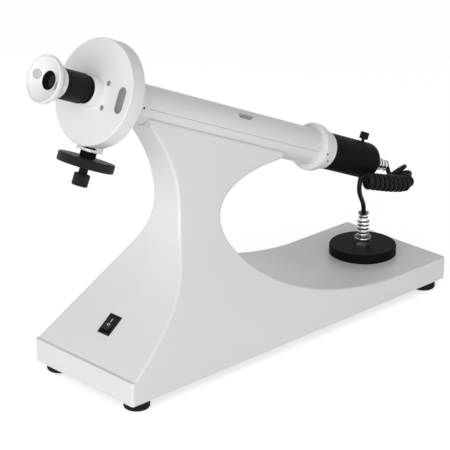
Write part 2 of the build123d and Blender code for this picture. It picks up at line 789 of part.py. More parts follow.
shaft_frame = Pos(shaft_start, 0, 0) * Rot(0, 180, 0)
pinion_outer = root_point(pinion_cone, 1.0)
pinion_inner = root_point(pinion_cone, inner_scale)
pinion = spun([pinion_outer, (pinion_outer[0], 0), (pinion_inner[0], 0), pinion_inner])
pinion_tooth = tooth(pinion_cone, tooth_half)
pinion += [Rot(0, 0, 360 / pinion_teeth * index) * pinion_tooth for index in range(pinion_teeth)]
housing_top = collar_radius + 0.3
inner_journal = housing_top + 0.4
wheel_top = lip_top + lip_thickness + bush_height + wheel_gap
wheel_bottom = wheel_top + wheel_height
knob_top = wheel_bottom + fine_neck
knob_bottom = knob_top + fine_knob_height
pinion_shaft = pinion + post(pinion_outer[0] - 0.5, knob_bottom - 2, shaft_radius)
pinion_shaft += post(inner_journal, pinion_inner[0] + 0.5, journal_radius)
pinion_shaft = shaft_frame * pinion_shaft

# Shaft housing behind the back plate, with the lip that carries the bush under the drum
housing_bottom = lip_top + lip_thickness
housing_length = housing_bottom - housing_top
housing_block = Box(housing_depth, 2 * housing_half_width, housing_length)
housing = Pos(plate_back + housing_depth / 2, 0, -(housing_top + housing_bottom) / 2) * housing_block
housing = fillet(housing.edges().filter_by(Axis.Z).group_by(Axis.X)[-1], 3.0)
hollow_length = lip_top - pinion_inner[0] + 1.5
hollow = Box(2 * (housing_depth - housing_wall), 2 * slot_half, hollow_length)
housing -= Pos(plate_back, 0, -lip_top + hollow_length / 2) * hollow
lip_front = plate_back - lip_reach
lip = Pos((lip_front + plate_back) / 2, 0, -lip_top - lip_thickness / 2) * Box(
    lip_reach, 2 * housing_half_width, lip_thickness
)
lip = fillet(lip.edges().filter_by(Axis.Z).group_by(Axis.X)[0], 3.0)
housing += lip
housing -= rod(plate_front, hub_end + 20, bearing_bore + bearing_wall + 0.2)
spigot_bore = shaft_frame * post(lip_top - 1, housing_bottom, bush_spigot + 0.05)
housing -= spigot_bore
lug_bottom = pinion_inner[0] - 1.5
journal_lug = Box(plate_back - plate_front + 2, 2 * slot_half - 0.4, lug_bottom - housing_top)
housing += Pos(plate_back - 1, 0, -(housing_top + lug_bottom) / 2) * journal_lug
housing -= shaft_frame * post(inner_journal - 0.2, lug_bottom + 1, journal_radius + running_gap)

bush = post(housing_bottom, housing_bottom + bush_height, bush_radius)
bush = chamfer(rim_edges(bush, Axis.Z, housing_bottom + bush_height, bush_radius), 0.5)
bush += post(lip_top - 1, housing_bottom, bush_spigot)
bush -= post(lip_top - 1, housing_bottom + bush_height, shaft_radius + running_gap)
bush = shaft_frame * bush

# Coarse handwheel and fine knob, both fixed on the shaft
wheel = post(wheel_top, wheel_bottom, wheel_radius)
wheel = chamfer(wheel.edges().filter_by(GeomType.CIRCLE), knob_chamfer)
wheel_recess = post(wheel_bottom - wheel_dish, wheel_bottom, wheel_radius - wheel_rim, bush_radius)
wheel -= wheel_recess
wheel -= post(wheel_top, wheel_bottom, shaft_radius + 0.03)
handwheel = shaft_frame * wheel
fine_knob = post(knob_top, knob_bottom, fine_knob_radius)
fine_knob = chamfer(fine_knob.edges().filter_by(GeomType.CIRCLE), knob_chamfer)
fine_knob += post(wheel_bottom, knob_top, fine_neck_radius)
fine_knob -= post(wheel_bottom, knob_bottom - 2, shaft_radius + 0.03)
fine_knob = shaft_frame * fine_knob

# Fixed main sleeve of the telescope, screwed to the cover by its flange, and its objective
sleeve_end = cover_face + 2.4
main_sleeve = rod(main_sleeve_start, sleeve_end, main_sleeve_radius - 0.02, main_sleeve_bore)
main_sleeve += rod(cover_face, sleeve_end, 22.6, main_sleeve_bore)
for side in (-1, 1):
    for level in (-1, 1):
        place = Pos(0, side * cover_screw_y, level * cover_screw_w)
        main_sleeve -= place * rod(cover_face, sleeve_end, cover_screw_radius + 0.1)
objective_cell = rod(-8, 0, main_sleeve_bore - 0.04, main_sleeve_bore - 2.5)
objective_cell -= rod(-5, 0, main_sleeve_bore - 1.5)
objective_lens = rod(-4.8, -1.2, main_sleeve_bore - 1.6)

# Focusing sleeve: turns on the draw tube and screws it in and out
focus_bore = main_sleeve_radius + running_gap
focus_sleeve = turned([
    (focus_start, eyepiece_radius + running_gap),
    (focus_start, focus_radius - 0.4),
    (focus_start + 0.4, focus_radius),
    (focus_end - 0.4, focus_radius),
    (focus_end, focus_radius - 0.4),
    (focus_end, focus_bore),
    (focus_start + focus_wall, focus_bore),
    (focus_start + focus_wall, eyepiece_radius + running_gap),
])
for start in (focus_start + 3.2, focus_end - 4.0):
    focus_sleeve -= rod(start, start + 1, focus_radius + 1, focus_radius - focus_groove)

# Draw tube with the eyepiece lenses
draw_start = focus_start + focus_wall + 0.3
draw_tube = rod(draw_start, draw_tube_end, main_sleeve_bore - running_gap, main_sleeve_bore - 1.6)
draw_tube += rod(draw_start, draw_start + 2, main_sleeve_bore - 1.0, eyepiece_bore)
draw_tube += rod(eyepiece_start, draw_start + 1, eyepiece_radius, eyepiece_bore)
draw_tube -= rod(eyepiece_start + 1, eyepiece_start + 4, eyepiece_bore + 0.9)
eye_lens = rod(eyepiece_start + 1.1, eyepiece_start + 3.9, eyepiece_bore + 0.8)
field_lens = rod(draw_tube_end - 4, draw_tube_end - 1, main_sleeve_bore - 1.65)

# Eye shield: a white dish with a lens on each side for reading the dial
dish_floor = shield_start + shield_dish
eye_shield = turned([
    (shield_start, shield_rim - 0.6),
    (shield_start + 0.6, shield_rim),
    (shield_start + shield_rim_depth, shield_rim),
    (shield_hub_start - 1.0, shield_step),
    (shield_hub_start, shield_step),
    (shield_hub_start, shield_hub),
    (shield_end, shield_hub),
    (shield_end, eyepiece_radius + running_gap),
    (eyepiece_start - 0.5, eyepiece_radius + running_gap),
    (dish_floor, shield_hole),
    (shield_start + 1.2, shield_rim - shield_lip - 0.6),
    (shield_start, shield_rim - shield_lip),
])
dish_slope = math.degrees(math.atan2(shield_dish - 1.2, shield_rim - shield_lip - 0.6 - shield_hole))
lens_depth = shield_start + shield_dish
lens_depth -= (magnifier_offset - shield_hole) * math.tan(math.radians(dish_slope))
magnifiers = []
for turn in (0, 180):
    seat_frame = Rot(shield_turn + turn, 0, 0) * Pos(lens_depth, -magnifier_offset, 0) * Rot(0, 0, -dish_slope)
    eye_shield -= seat_frame * rod(-3, 12, magnifier_radius - 0.7)
    eye_shield -= seat_frame * rod(-3, magnifier_thickness + 0.4, magnifier_radius)
    magnifiers.append(seat_frame * rod(0.3, magnifier_thickness + 0.3, magnifier_radius - 0.1))
shield_screw_start = (shield_hub_start + shield_end) / 2
eye_shield -= set_hole(shield_screw_start, 128.0, shield_hub)
shield_screw = set_screw(shield_screw_start, 128.0, shield_hub)

# Black plate on the base that carries the lamp's socket
plate_top = base_height + socket_plate_height
socket_plate = post(base_height, plate_top, socket_plate_radius, panel_hole)
socket_plate = fillet(rim_edges(socket_plate, Axis.Z, plate_top, socket_plate_radius), socket_plate_round)
socket_plate = Pos(plate_centre_x, 0, 0) * socket_plate


def socket(flange_height):
    """Panel socket along Z from its panel at 0: hexagon flange and threaded barrel."""
    shape = extrude(RegularPolygon(socket_flange, 6), flange_height)
    shape += post(-8, 0, panel_hole - 0.1)
    return shape


def plug_length(flange_height, body_length):
    """Reach of a socket's flange and of the plug on it."""
    grip = coupling_length + body_length + plug_ring_length
    return flange_height + grip + plug_neck_length + plug_clamp_length


def plug(flange_height, body_length):
    """Plug on the socket: coupling ring, body, grip ring, neck and cord clamp."""
    coupling_end = flange_height + coupling_length
    body_end = coupling_end + body_length
    ring_stop = body_end + plug_ring_length
    neck_end = ring_stop + plug_neck_length
    shape = post(flange_height, coupling_end, coupling_radius)
    shape = chamfer(shape.edges().filter_by(GeomType.CIRCLE), 0.5)
    shape += post(coupling_end, body_end, plug_body)
    grip = post(body_end, ring_stop, plug_ring)
    shape += chamfer(rim_edges(grip, Axis.Z, ring_stop, plug_ring), 0.6)
    shape += post(ring_stop, neck_end, plug_neck)
    clamp = Pos(0, 0, neck_end) * extrude(Circle(plug_neck), plug_clamp_length, taper=-20)
    return shape + clamp


base_frame = Pos(plate_centre_x, 0, plate_top)
base_socket = base_frame * socket(base_flange_height)
base_plug = base_frame * plug(base_flange_height, base_plug_body)
lamp_frame = tube_frame * Pos(lamp_end, 0, 0) * Rot(0, 90, 0)
lamp_socket = lamp_frame * socket(lamp_flange_height)
lamp_plug = lamp_frame * plug(lamp_flange_height, lamp_plug_body)

# Curly cord: a plain tube of its outer size, with the straight ends that it is moulded on
lamp_reach = lamp_end + plug_length(lamp_flange_height, lamp_plug_body)
lamp_exit = on_tube(lamp_reach, 0)
coil_entry = on_tube(lamp_reach + cord_lead_length, 0)
coil_corner = on_tube(lamp_reach + cord_lead_length + 12.6, 0)
base_exit = plate_top + plug_length(base_flange_height, base_plug_body)
lead_points = [(lamp_exit[0], 0, lamp_exit[1]), (coil_entry[0], 0, coil_entry[1])]
coil_points = [
    (coil_entry[0], 0, coil_entry[1]),
    (coil_corner[0], 0, coil_corner[1]),
    (436.0, -10.1, 99.2),
    (428.4, -20.2, 97.7),
    (405.0, -21.8, 102.9),
    (381.6, -23.3, 109.1),
    (359.0, -22.0, 116.5),
]
tail_points = [
    (359.0, -22.0, 116.5),
    (353.1, -21.66, 118.43),
    (348.5, -20.6, 111.3),
    (356.0, -17.6, 101.0),
    (370.0, -10.5, 87.0),
    (plate_centre_x, 0, base_exit + 11.4),
    (plate_centre_x, 0, base_exit),
]


def corner_radii(points):
    """Largest arc that the two runs at each corner allow."""
    radii = []
    for before, here, after in zip(points, points[1:], points[2:]):
        arrive = Vector(*here) - Vector(*before)
        leave = Vector(*after) - Vector(*here)
        turn = math.radians(arrive.get_angle(leave))
        radii.append(0.45 * min(arrive.length, leave.length) / math.tan(turn / 2))
    return radii


def cord_tube(points, radius):
    """Round tube along straight runs joined by tangent arcs."""
    radii = corner_radii(points)
    path = FilletPolyline(*points, radius=radii)
    section = Plane(origin=points[0], z_dir=Vector(*points[1]) - Vector(*points[0])) * Circle(radius)
    tube = sweep(section, path=path)
    print("cord radii", [round(r, 1) for r in radii], "length", round(path.length, 1),
          "volume ratio", round(tube.volume / (math.pi * radius ** 2 * path.length), 4))
    return tube


lead_axis = Vector(*lead_points[1]) - Vector(*lead_points[0])
cord_lead = Plane(origin=lead_points[0], z_dir=lead_axis) * extrude(Circle(cord_radius), lead_axis.length)
cord_coil = cord_tube(coil_points, coil_radius)
cord_tail = cord_tube(tail_points, cord_radius)

# Nodes, grouped by what carries them
on_base = {
    "stand_casting": casting,
    "bottom_plate": bottom_plate,
    "base_screws": foot_screws + plate_screws,
    "switch_body": switch_frame * switch_body,
    "switch_rocker": switch_rocker,
    "power_gland": gland,
    "gland_nut": gland_nut,
    "driver_board": board,
    "socket_plate": socket_plate,
    "base_socket": base_socket,
    "base_plug": base_plug,
    "lamp_socket": lamp_socket,
    "lamp_plug": lamp_plug,
    "cord_lead": cord_lead,
    "cord_coil": cord_coil,
    "cord_tail": cord_tail,
}
on_base.update(feet)
on_the_tube = {
    "trough": trough,
    "tube_lid": tube_cover,
    "hinge_pin": hinge_pin,
    "lid_tab": lid_tab,
    "front_collar": collar,
    "retaining_rings": [front_cell, polariser_cell, condenser_ring],
    "tube_windows": [front_window, rear_window],
    "rear_flange": flange,
    "rear_ring": ring,
    "polarising_plates": [half_shade_plate, polariser],
    "collar_screws": collar_screws,
    "lamp_house": lamp_house,
    "lamp_holder": lamp_holder,
    "lamp_diode": lamp_diode,
    "condenser_lens": condenser_lens,
    "thumb_screw": thumb_screw,
    "dial_cover": cover,
    "reading_glasses": reading_glasses,
    "cover_screws": cover_screws,
    "back_plate": back,
    "dial": dial,
    "dial_gear": dial_gear,
    "analyser_cell": analyser_cell,
    "analyser": analyser,
    "vernier_plates": verniers,
    "pinion_shaft": pinion_shaft,
    "shaft_housing": housing,
    "shaft_bush": bush,
    "handwheel": handwheel,
    "fine_knob": fine_knob,
    "main_sleeve": main_sleeve,
    "objective_cell": objective_cell,
    "objective_lens": objective_lens,
    "focus_sleeve": focus_sleeve,
    "draw_tube": draw_tube,
    "eyepiece_lenses": [eye_lens, field_lens],
    "eye_shield": eye_shield,
    "magnifiers": magnifiers,
    "shield_screw": shield_screw,
}


def placed(shape, place):
    """A shape moved to its place, with a list of solids gathered as one compound."""
    if isinstance(shape, list):
        return Compound([place * solid for item in shape for solid in item.solids()])
    return place * shape


nodes = {name: placed(shape, Pos(0, 0, 0)) for name, shape in on_base.items()}
for name, shape in on_the_tube.items():
    nodes[name] = placed(shape, tube_frame)

# The finished part stands with its origin under the middle of everything but the cord
cord_names = ["lamp_plug", "base_plug", "cord_lead", "cord_coil", "cord_tail"]
boxes = [shape.bounding_box() for name, shape in nodes.items() if name not in cord_names]
middle_x = (min(box.min.X for box in boxes) + max(box.max.X for box in boxes)) / 2
middle_y = (min(box.min.Y for box in boxes) + max(box.max.Y for box in boxes)) / 2
origin = Vector(middle_x, middle_y, -foot_height)
to_origin = Pos(-origin.X, -origin.Y, -origin.Z)
for name, shape in on_base.items():
    export_step(placed(shape, to_origin), f"parts/{name}.step")
for name, shape in on_the_tube.items():
    export_step(placed(shape, to_origin * tube_frame), f"parts/{name}.step")
print("origin", origin, "nodes", len(nodes))
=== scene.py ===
import math
import bmesh
import bpy
from mathutils import Matrix, Vector


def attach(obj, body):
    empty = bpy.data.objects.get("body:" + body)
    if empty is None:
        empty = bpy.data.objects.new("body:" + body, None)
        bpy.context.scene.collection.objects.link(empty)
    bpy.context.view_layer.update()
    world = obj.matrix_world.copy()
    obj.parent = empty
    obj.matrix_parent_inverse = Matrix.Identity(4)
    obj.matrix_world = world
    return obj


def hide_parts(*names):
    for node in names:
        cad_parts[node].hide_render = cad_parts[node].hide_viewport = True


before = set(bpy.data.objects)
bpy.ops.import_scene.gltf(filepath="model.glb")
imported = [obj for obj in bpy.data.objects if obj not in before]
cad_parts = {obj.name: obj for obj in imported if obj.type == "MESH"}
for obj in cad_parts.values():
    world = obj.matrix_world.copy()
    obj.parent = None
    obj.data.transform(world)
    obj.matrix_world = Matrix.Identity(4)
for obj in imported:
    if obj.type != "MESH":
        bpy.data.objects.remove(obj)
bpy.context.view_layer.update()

# Camera, about 1.9 m away and slightly above, as a long lens sees the instrument on a table.
# The instrument's origin lies under the middle of its feet.
ORIGIN_X = 0.198336
FEET = 0.010
MM = 0.001


def on_base(x, y, z):
    """Point in millimetres from the casting's front bottom edge."""
    return Vector((x * MM - ORIGIN_X, y * MM, z * MM + FEET))


camera_data = bpy.data.cameras.new("camera")
camera_data.sensor_width = 36.0
camera_data.lens = 153.8
camera_data.clip_end = 20
camera = bpy.data.objects.new("camera", camera_data)
bpy.context.scene.collection.objects.link(camera)
bpy.context.scene.camera = camera
bpy.context.scene.view_settings.view_transform = "Standard"
CAMERA_DISTANCE = 1.8654
camera_turn = math.radians(-43.89)
camera_rise = math.radians(21.43)
camera_back = Vector((
    math.sin(camera_turn) * math.cos(camera_rise),
    -math.cos(camera_turn) * math.cos(camera_rise),
    math.sin(camera_rise),
))
camera_target = on_base(180.7, -2.8, 110.0)
camera.location = camera_target + camera_back * CAMERA_DISTANCE
camera.rotation_euler = camera_back.to_track_quat("Z", "Y").to_euler()

# Curly lead between the lamp and the base: black jacket over two cores, five millimetres thick.
# It is moulded into a tight coil and ends straight in a screwed plug at each end.
# along() runs down the axis of the leaning optical tube, from the dial cover's face to the lamp.
TILT = math.radians(22.95)
tube_start = Vector((0.02125 - ORIGIN_X, 0, 0.2796 + FEET))
tube_along = Vector((math.cos(TILT), 0, -math.sin(TILT)))
tube_up = Vector((math.sin(TILT), 0, math.cos(TILT)))
tube_side = Vector((0, 1, 0))


def along(s):
    """Point in millimetres down the tube's axis."""
    return tube_start + tube_along * s * MM


CORD_RADIUS = 0.0025
COIL_TURN_RADIUS = 0.0067
COIL_TURNS = 14.75
TURN_POINTS = 16
lamp_exit = along(428.2)
lamp_end = along(429.7)
plug_top = on_base(384.8, 0, 68.1)
base_end = plug_top + Vector((0, 0, 0.003))
coil_route = [
    along(433.4),
    along(446.0),
    on_base(434.2, -10.1, 98.6),
    on_base(428.4, -20.2, 94.5),
    on_base(405.0, -21.8, 100.6),
    on_base(381.6, -23.3, 108.4),
    on_base(353.0, -22.4, 118.0),
]


def nurbs_line(points, name):
    """Smooth spline with these points as its control points."""
    data = bpy.data.curves.new(name, "CURVE")
    data.dimensions = "3D"
    data.resolution_u = 24
    spline = data.splines.new("NURBS")
    spline.points.add(len(points) - 1)
    for control, point in zip(spline.points, points):
        control.co = (point.x, point.y, point.z, 1)
    spline.order_u = 3
    spline.use_endpoint_u = True
    return data


def read_route(points):
    """Points along the spline of a route, as its own mesh gives them."""
    holder = bpy.data.objects.new("route", nurbs_line(points, "route"))
    bpy.context.scene.collection.objects.link(holder)
    bpy.context.view_layer.update()
    line = bpy.data.meshes.new_from_object(holder)
    found = [vertex.co.copy() for vertex in line.vertices]
    bpy.data.objects.remove(holder)
    return found


coil_line = read_route(coil_route)
steps = [(b - a).length for a, b in zip(coil_line, coil_line[1:])]
coil_length = sum(steps)


def on_coil_line(distance):
    """Point and direction at a distance along the middle of the coil."""
    for a, b, step in zip(coil_line, coil_line[1:], steps):
        if distance <= step:
            return a.lerp(b, distance / step), (b - a).normalized()
        distance -= step
    return coil_line[-1], (coil_line[-1] - coil_line[-2]).normalized()


# The turns are widest where the coil bends round behind the lamp.
WIDEST_SHARE = 0.16
WIDENING = 0.3
helix = []
across = tube_side.copy()
for index in range(round(COIL_TURNS * TURN_POINTS) + 1):
    share = index / (COIL_TURNS * TURN_POINTS)
    middle, heading = on_coil_line(share * coil_length)
    across = (across - heading * across.dot(heading)).normalized()
    square = heading.cross(across)
    turn = 2 * math.pi * index / TURN_POINTS
    swell = 1.0 + WIDENING * max(0.0, 1 - abs(share - WIDEST_SHARE) / WIDEST_SHARE)
    reach = COIL_TURN_RADIUS * swell
    helix.append(middle + (across * math.cos(turn) + square * math.sin(turn)) * reach)


def eased(first, first_pull, last, last_pull, count):
    """Points of the easy sweep that the cord takes between two places, leaving and meeting them straight."""
    found = []
    for step in range(1, count + 1):
        u = step / (count + 1)
        found.append(
            first * (2 * u ** 3 - 3 * u ** 2 + 1) + first_pull * (u ** 3 - 2 * u ** 2 + u)
            + last * (3 * u ** 2 - 2 * u ** 3) + last_pull * (u ** 3 - u ** 2)
        )
    return found


# The coil's first two turns and its last turn are drawn out into the straight ends.
FIRST_COILED, LAST_COILED = 31, 221
coil = helix[FIRST_COILED:LAST_COILED]
coil_start = (coil[1] - coil[0]).normalized()
coil_end = (coil[-1] - coil[-2]).normalized()
LAMP_SIDE_PULL, COIL_START_PULL = 0.020, 0.030
COIL_END_PULL, BASE_SIDE_PULL = 0.050, 0.040
lamp_pull = tube_along * LAMP_SIDE_PULL
base_pull = Vector((0, 0, -BASE_SIDE_PULL))
cord_points = [lamp_exit, lamp_end]
cord_points += eased(lamp_end, lamp_pull, coil[0], coil_start * COIL_START_PULL, count=8)
cord_points += coil
cord_points += eased(coil[-1], coil_end * COIL_END_PULL, base_end, base_pull, count=12)
cord_points += [base_end, plug_top]
cord_curve = nurbs_line(cord_points, "curly_lead")
cord_curve.resolution_u = 3
cord_curve.bevel_depth = CORD_RADIUS
cord_curve.bevel_resolution = 4
cord_curve.use_fill_caps = True


def principled(name, color, roughness, metallic=0.0):
    """New node material, with its nodes, its links and its shader."""
    material = bpy.data.materials.new(name)
    material.use_nodes = True
    tree = material.node_tree
    shader = tree.nodes["Principled BSDF"]
    shader.inputs["Base Color"].default_value = (*color, 1)
    shader.inputs["Roughness"].default_value = roughness
    shader.inputs["Metallic"].default_value = metallic
    return material, tree.nodes, tree.links, shader


def placed_pattern(nodes, links, turn=0.0, centre=None, stretch=(1, 1, 1)):
    """Object coordinates, turned about the cross axis and centred on a piece."""
    source = nodes.new("ShaderNodeTexCoord")
    mapping = nodes.new("ShaderNodeMapping")
    mapping.inputs["Rotation"].default_value = (0, turn, 0)
    mapping.inputs["Scale"].default_value = stretch
    if centre is not None:
        moved = Matrix.Rotation(turn, 3, "Y") @ Vector([c * k for c, k in zip(centre, stretch)])
        mapping.inputs["Location"].default_value = -moved
    links.new(source.outputs["Object"], mapping.inputs["Vector"])
    return mapping.outputs["Vector"]


def group_with(name, wanted, given):
    """Empty shader node group with named number and vector sockets."""
    group = bpy.data.node_groups.new(name, "ShaderNodeTree")
    for label, kind, value in wanted:
        socket = group.interface.new_socket(name=label, in_out="INPUT", socket_type="NodeSocket" + kind)
        if value is not None:
            socket.default_value = value
    for label, kind in given:
        group.interface.new_socket(name=label, in_out="OUTPUT", socket_type="NodeSocket" + kind)
    entry = group.nodes.new("NodeGroupInput")
    leave = group.nodes.new("NodeGroupOutput")
    return group, entry, leave


# Grain that the finishes share: a fine relief and a slow drift of tone over the surface.
grain, grain_in, grain_out = group_with(
    "surface_grain",
    [("Vector", "Vector", None), ("Fine Scale", "Float", 600.0), ("Drift Scale", "Float", 12.0)],
    [("Relief", "Float"), ("Drift", "Float")],
)
for scale_label, detail, output in (("Fine Scale", 3.0, "Relief"), ("Drift Scale", 2.0, "Drift")):
    texture = grain.nodes.new("ShaderNodeTexNoise")
    texture.inputs["Detail"].default_value = detail
    grain.links.new(grain_in.outputs["Vector"], texture.inputs["Vector"])
    grain.links.new(grain_in.outputs[scale_label], texture.inputs["Scale"])
    grain.links.new(texture.outputs["Fac"], grain_out.inputs[output])


def add_grain(nodes, links, vector, fine_scale, drift_scale):
    """Places the shared grain in a material."""
    node = nodes.new("ShaderNodeGroup")
    node.node_tree = grain
    links.new(vector, node.inputs["Vector"])
    node.inputs["Fine Scale"].default_value = fine_scale
    node.inputs["Drift Scale"].default_value = drift_scale
    return node


def toned(nodes, links, factor, dark, light, shader):
    """Base colour that drifts between two close tones."""
    mix = nodes.new("ShaderNodeMix")
    mix.data_type = "RGBA"
    mix.inputs[6].default_value = (*dark, 1)
    mix.inputs[7].default_value = (*light, 1)
    links.new(factor, mix.inputs[0])
    links.new(mix.outputs[2], shader.inputs["Base Color"])


def drifting_roughness(nodes, links, factor, low, high, shader):
    """Roughness that drifts with the grain."""
    ramp = nodes.new("ShaderNodeMapRange")
    ramp.inputs["From Min"].default_value = 0.3
    ramp.inputs["From Max"].default_value = 0.7
    ramp.inputs["To Min"].default_value = low
    ramp.inputs["To Max"].default_value = high
    links.new(factor, ramp.inputs["Value"])
    links.new(ramp.outputs["Result"], shader.inputs["Roughness"])


def embossed(nodes, links, height, strength, distance, shader):
    """Bump from a height, in metres at full strength."""
    bump = nodes.new("ShaderNodeBump")
    bump.inputs["Strength"].default_value = strength
    bump.inputs["Distance"].default_value = distance
    links.new(height, bump.inputs["Height"])
    links.new(bump.outputs["Normal"], shader.inputs["Normal"])


def grained(
    name, dark, light, roughness, grain_scales, metallic=0.0, relief=None, roughness_range=None,
    turn=0.0, stretch=(1, 1, 1), tone_by="Drift", **plain,
):
    """Finish whose tone, gloss and relief follow the shared grain. Plain values go on the shader itself."""
    material, nodes, links, shader = principled(name, light, roughness, metallic)
    pattern = add_grain(nodes, links, placed_pattern(nodes, links, turn=turn, stretch=stretch), *grain_scales)
    if dark is not None:
        toned(nodes, links, pattern.outputs[tone_by], dark, light, shader)
    if roughness_range is not None:
        drifting_roughness(nodes, links, pattern.outputs["Drift"], *roughness_range, shader)
    if relief is not None:
        embossed(nodes, links, pattern.outputs["Relief"], *relief, shader)
    for label, value in plain.items():
        shader.inputs[label.replace("_", " ")].default_value = value
    return material


def linked(piece_mesh, name, material, body):
    """New object for a finished mesh, riding on a body."""
    piece = bpy.data.objects.new(name, piece_mesh)
    bpy.context.scene.collection.objects.link(piece)
    piece.data.materials.append(material)
    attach(piece, body)
    return piece


jacket = grained(
    "cord_jacket", (0.004, 0.004, 0.004), (0.008, 0.008, 0.008), 0.42, (900.0, 40.0),
    relief=(0.25, 0.0002), Specular_IOR_Level=0.12,
)
cord = linked(cord_curve, "curly_lead", jacket, "stand")
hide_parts("cord_lead", "cord_coil", "cord_tail")
measured = read_route(cord_points)

# Floor, lights and surroundings: a white table top in a plain studio, lit softly from the left.
# Seen directly, in gloss or through glass, table and room are white; as light they stay dim.
FLOOR_GLOW = 0.66
ROOM_LIGHT = 0.31
LIT_CENTRE = Vector((0, 0, 0.16))
floor_mesh = bpy.data.meshes.new("floor")
floor_form = bmesh.new()
bmesh.ops.create_grid(floor_form, x_segments=1, y_segments=1, size=6.0)
floor_form.to_mesh(floor_mesh)
floor_form.free()
floor = bpy.data.objects.new("floor", floor_mesh)
bpy.context.scene.collection.objects.link(floor)


def worked_out(nodes, links, operation, first, second=None):
    """Math node fed by sockets or numbers."""
    node = nodes.new("ShaderNodeMath")
    node.operation = operation
    for socket, value in zip(node.inputs, (first, second)):
        if value is None:
            continue
        if isinstance(value, (int, float)):
            socket.default_value = value
        else:
            links.new(value, socket)
    return node.outputs[0]


def seen_rays(nodes, links):
    """One for a ray that shows the background, nothing for a ray that gathers light."""
    path = nodes.new("ShaderNodeLightPath").outputs
    share = worked_out(nodes, links, "MAXIMUM", path["Is Camera Ray"], path["Is Glossy Ray"])
    return worked_out(nodes, links, "MAXIMUM", share, path["Is Transmission Ray"])


table_top, nodes, links, shader = principled("table_top", (0.82, 0.82, 0.82), 0.9)
shader.inputs["Specular IOR Level"].default_value = 0.1
glow = nodes.new("ShaderNodeEmission")
glow_strength = worked_out(nodes, links, "MULTIPLY", seen_rays(nodes, links), FLOOR_GLOW)
links.new(glow_strength, glow.inputs["Strength"])
together = nodes.new("ShaderNodeAddShader")
links.new(shader.outputs["BSDF"], together.inputs[0])
links.new(glow.outputs["Emission"], together.inputs[1])
links.new(together.outputs["Shader"], nodes["Material Output"].inputs["Surface"])
floor.data.materials.append(table_top)

world = bpy.data.worlds.new("studio")
bpy.context.scene.world = world
world.use_nodes = True
nodes, links = world.node_tree.nodes, world.node_tree.links
level = nodes.new("ShaderNodeMapRange")
level.inputs["To Min"].default_value = ROOM_LIGHT
level.inputs["To Max"].default_value = 1.0
links.new(seen_rays(nodes, links), level.inputs["Value"])
background = nodes["Background"]
background.inputs["Color"].default_value = (1, 1, 1, 1)
links.new(level.outputs["Result"], background.inputs["Strength"])


def soft_lamp(name, direction, distance, width, height, power):
    """Area lamp that faces the middle of the instrument."""
    data = bpy.data.lights.new(name, "AREA")
    data.shape = "RECTANGLE"
    data.size = width
    data.size_y = height
    data.energy = power
    lamp = bpy.data.objects.new(name, data)
    bpy.context.scene.collection.objects.link(lamp)
    toward = Vector(direction).normalized()
    lamp.location = LIT_CENTRE + toward * distance
    lamp.rotation_euler = toward.to_track_quat("Z", "Y").to_euler()


soft_lamp("left_light", (-0.90, -0.40, 0.20), distance=2.2, width=2.6, height=1.8, power=43.0)
soft_lamp("front_light", (-0.05, -0.98, 0.16), distance=2.4, width=1.8, height=1.4, power=11.0)


def finish_nodes(material, *names):
    """Gives CAD pieces their finish."""
    for name in names:
        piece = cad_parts[name]
        piece.data.materials.clear()
        piece.data.materials.append(material)


# Stand: one hollow aluminium casting, with its base, waist and cradle rubbed smooth.
# It is sprayed in ivory paint, which dries slightly orange-peeled.
ivory = grained(
    "ivory_paint", (0.77, 0.77, 0.745), (0.83, 0.83, 0.81), 0.34, (420.0, 9.0),
    relief=(0.22, 0.00035), roughness_range=(0.30, 0.42), Coat_Weight=0.12, Coat_Roughness=0.2,
)
finish_nodes(ivory, "stand_casting")

# Feet and the screws that hold them: moulded black rubber under the casting's four bosses,
# and machined steel screws driven up through them.
rubber = grained(
    "foot_rubber", (0.006, 0.006, 0.006), (0.014, 0.013, 0.012), 0.75, (1400.0, 30.0),
    relief=(0.35, 0.0003), Specular_IOR_Level=0.12,
)
finish_nodes(rubber, "foot_front_near", "foot_front_far", "foot_rear_near", "foot_rear_far")
steel = grained(
    "machined_steel", (0.28, 0.28, 0.285), (0.45, 0.45, 0.455), 0.3, (2500.0, 120.0), metallic=1.0,
    relief=(0.1, 0.0001), roughness_range=(0.24, 0.42), stretch=(1, 1, 0.2),
)
finish_nodes(steel, "base_screws")

# Bottom plate and gland for the mains lead: moulded black plastic with a fine spark-eroded grain.
# The plate closes the casting's hollow, and a nut holds the gland from inside.
plastic = grained(
    "black_plastic", (0.005, 0.005, 0.005), (0.010, 0.010, 0.010), 0.48, (2200.0, 25.0),
    relief=(0.3, 0.00012), roughness_range=(0.42, 0.56), Specular_IOR_Level=0.12,
)
finish_nodes(plastic, "bottom_plate", "power_gland", "gland_nut")

# Lamp driver inside the stand: a bare board under green lacquer, on pillars.
# The lacquer lies in faint streaks, where it ran off.
board = grained(
    "board_lacquer", (0.015, 0.13, 0.05), (0.03, 0.21, 0.08), 0.3, (500.0, 60.0),
    stretch=(1, 4, 1), tone_by="Relief",
)
finish_nodes(board, "driver_board")

# Rocker switch on the front slope: a plastic frame that snaps into the casting, and a glossy rocker.
# A white bar and a white ring are printed on the rocker's two faces.
finish_nodes(plastic, "switch_body")
rocker_plastic = grained(
    "rocker_plastic", (0.005, 0.005, 0.005), (0.009, 0.009, 0.009), 0.24, (1500.0, 60.0),
    relief=(0.12, 0.0001), Specular_IOR_Level=0.16,
)
finish_nodes(rocker_plastic, "switch_rocker")
rocker_white = grained("rocker_white", (0.72, 0.72, 0.71), (0.84, 0.84, 0.83), 0.45, (1500.0, 200.0))
PRINT_HALF = 0.00004
BAR_LENGTH, BAR_WIDTH = 0.0034, 0.0008
RING_INNER, RING_OUTER = 0.0010, 0.0016


